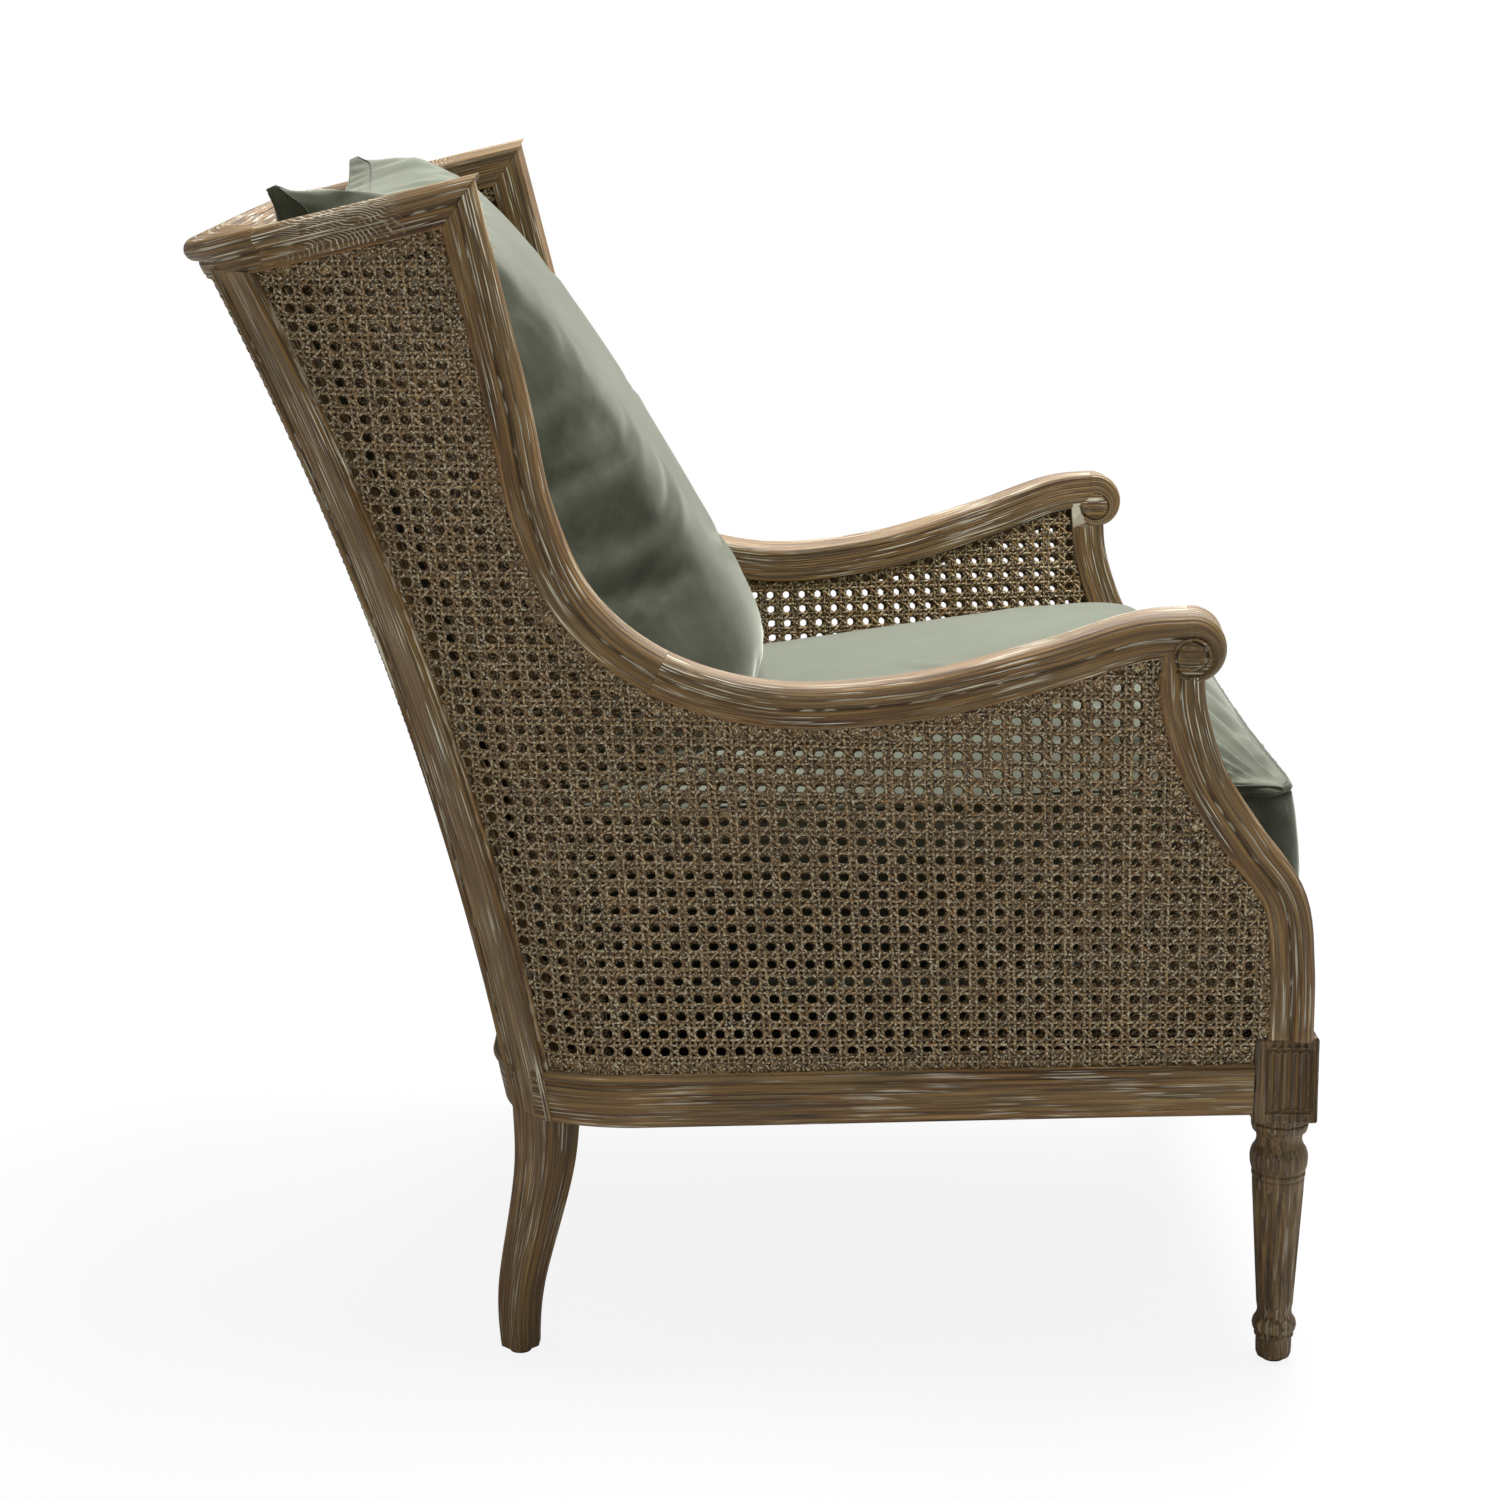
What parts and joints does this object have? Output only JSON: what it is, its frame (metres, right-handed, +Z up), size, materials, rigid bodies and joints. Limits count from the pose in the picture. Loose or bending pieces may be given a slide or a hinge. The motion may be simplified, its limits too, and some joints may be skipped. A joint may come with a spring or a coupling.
{
  "type": "bergere chair",
  "caption": "Wing bergere chair with a turned and fluted wooden frame, scrolled arms, double caned sides and back, and loose velvet seat and back cushions.",
  "frame": {"origin": "centre of the chair's footprint at floor level, under the four glides", "axes": "+X towards the sitter's left arm, +Y towards the back of the chair, +Z up; the sitter faces -Y"},
  "size_m": [0.7996, 0.9556, 1.0033],
  "materials": {
    "oak": "limed and weathered oak, open grain, matt",
    "cane": "hand-woven split cane, matt",
    "velvet": "grey-green cut velvet",
    "jute": "woven jute webbing",
    "lining": "black lining cloth",
    "nylon": "dark nylon"
  },
  "bodies": {
    "frame": {"left_front_leg": "oak", "right_front_leg": "oak", "left_back_post": "oak", "right_back_post": "oak", "left_side_rail": "oak", "right_side_rail": "oak", "left_arm_support": "oak", "right_arm_support": "oak", "left_arm_rail": "oak", "right_arm_rail": "oak", "left_wing_upright": "oak", "right_wing_upright": "oak", "left_wing_top_rail": "oak", "right_wing_top_rail": "oak", "left_front_corner_block": "oak", "right_front_corner_block": "oak", "left_rear_corner_block": "oak", "right_rear_corner_block": "oak", "back_rail": "oak", "front_rail": "oak", "crest_rail": "oak", "deck_frame": "oak", "left_front_glide": "nylon", "right_front_glide": "nylon", "left_back_glide": "nylon", "right_back_glide": "nylon", "left_outer_side_cane": "cane", "right_outer_side_cane": "cane", "left_inner_side_cane": "cane", "right_inner_side_cane": "cane", "outer_back_cane": "cane", "inner_back_cane": "cane", "long_strap_1": "jute", "long_strap_2": "jute", "long_strap_3": "jute", "long_strap_4": "jute", "long_strap_5": "jute", "cross_strap_1": "jute", "cross_strap_2": "jute", "cross_strap_3": "jute", "cross_strap_4": "jute", "cross_strap_5": "jute", "deck_pad": "velvet", "dust_cover": "lining"},
    "seat_cushion": {"seat_cushion": "velvet"},
    "back_cushion": {"back_cushion": "velvet"}
  },
  "joints": [
    {"name": "seat_slide", "type": "slide", "parent": "frame", "child": "seat_cushion", "axis": [0, -0.9992, 0.0401], "range_m": [0, 0.7]},
    {"name": "back_lift", "type": "slide", "parent": "frame", "child": "back_cushion", "axis": [0, 0.3962, 0.9182], "range_m": [0, 0.6]}
  ]
}
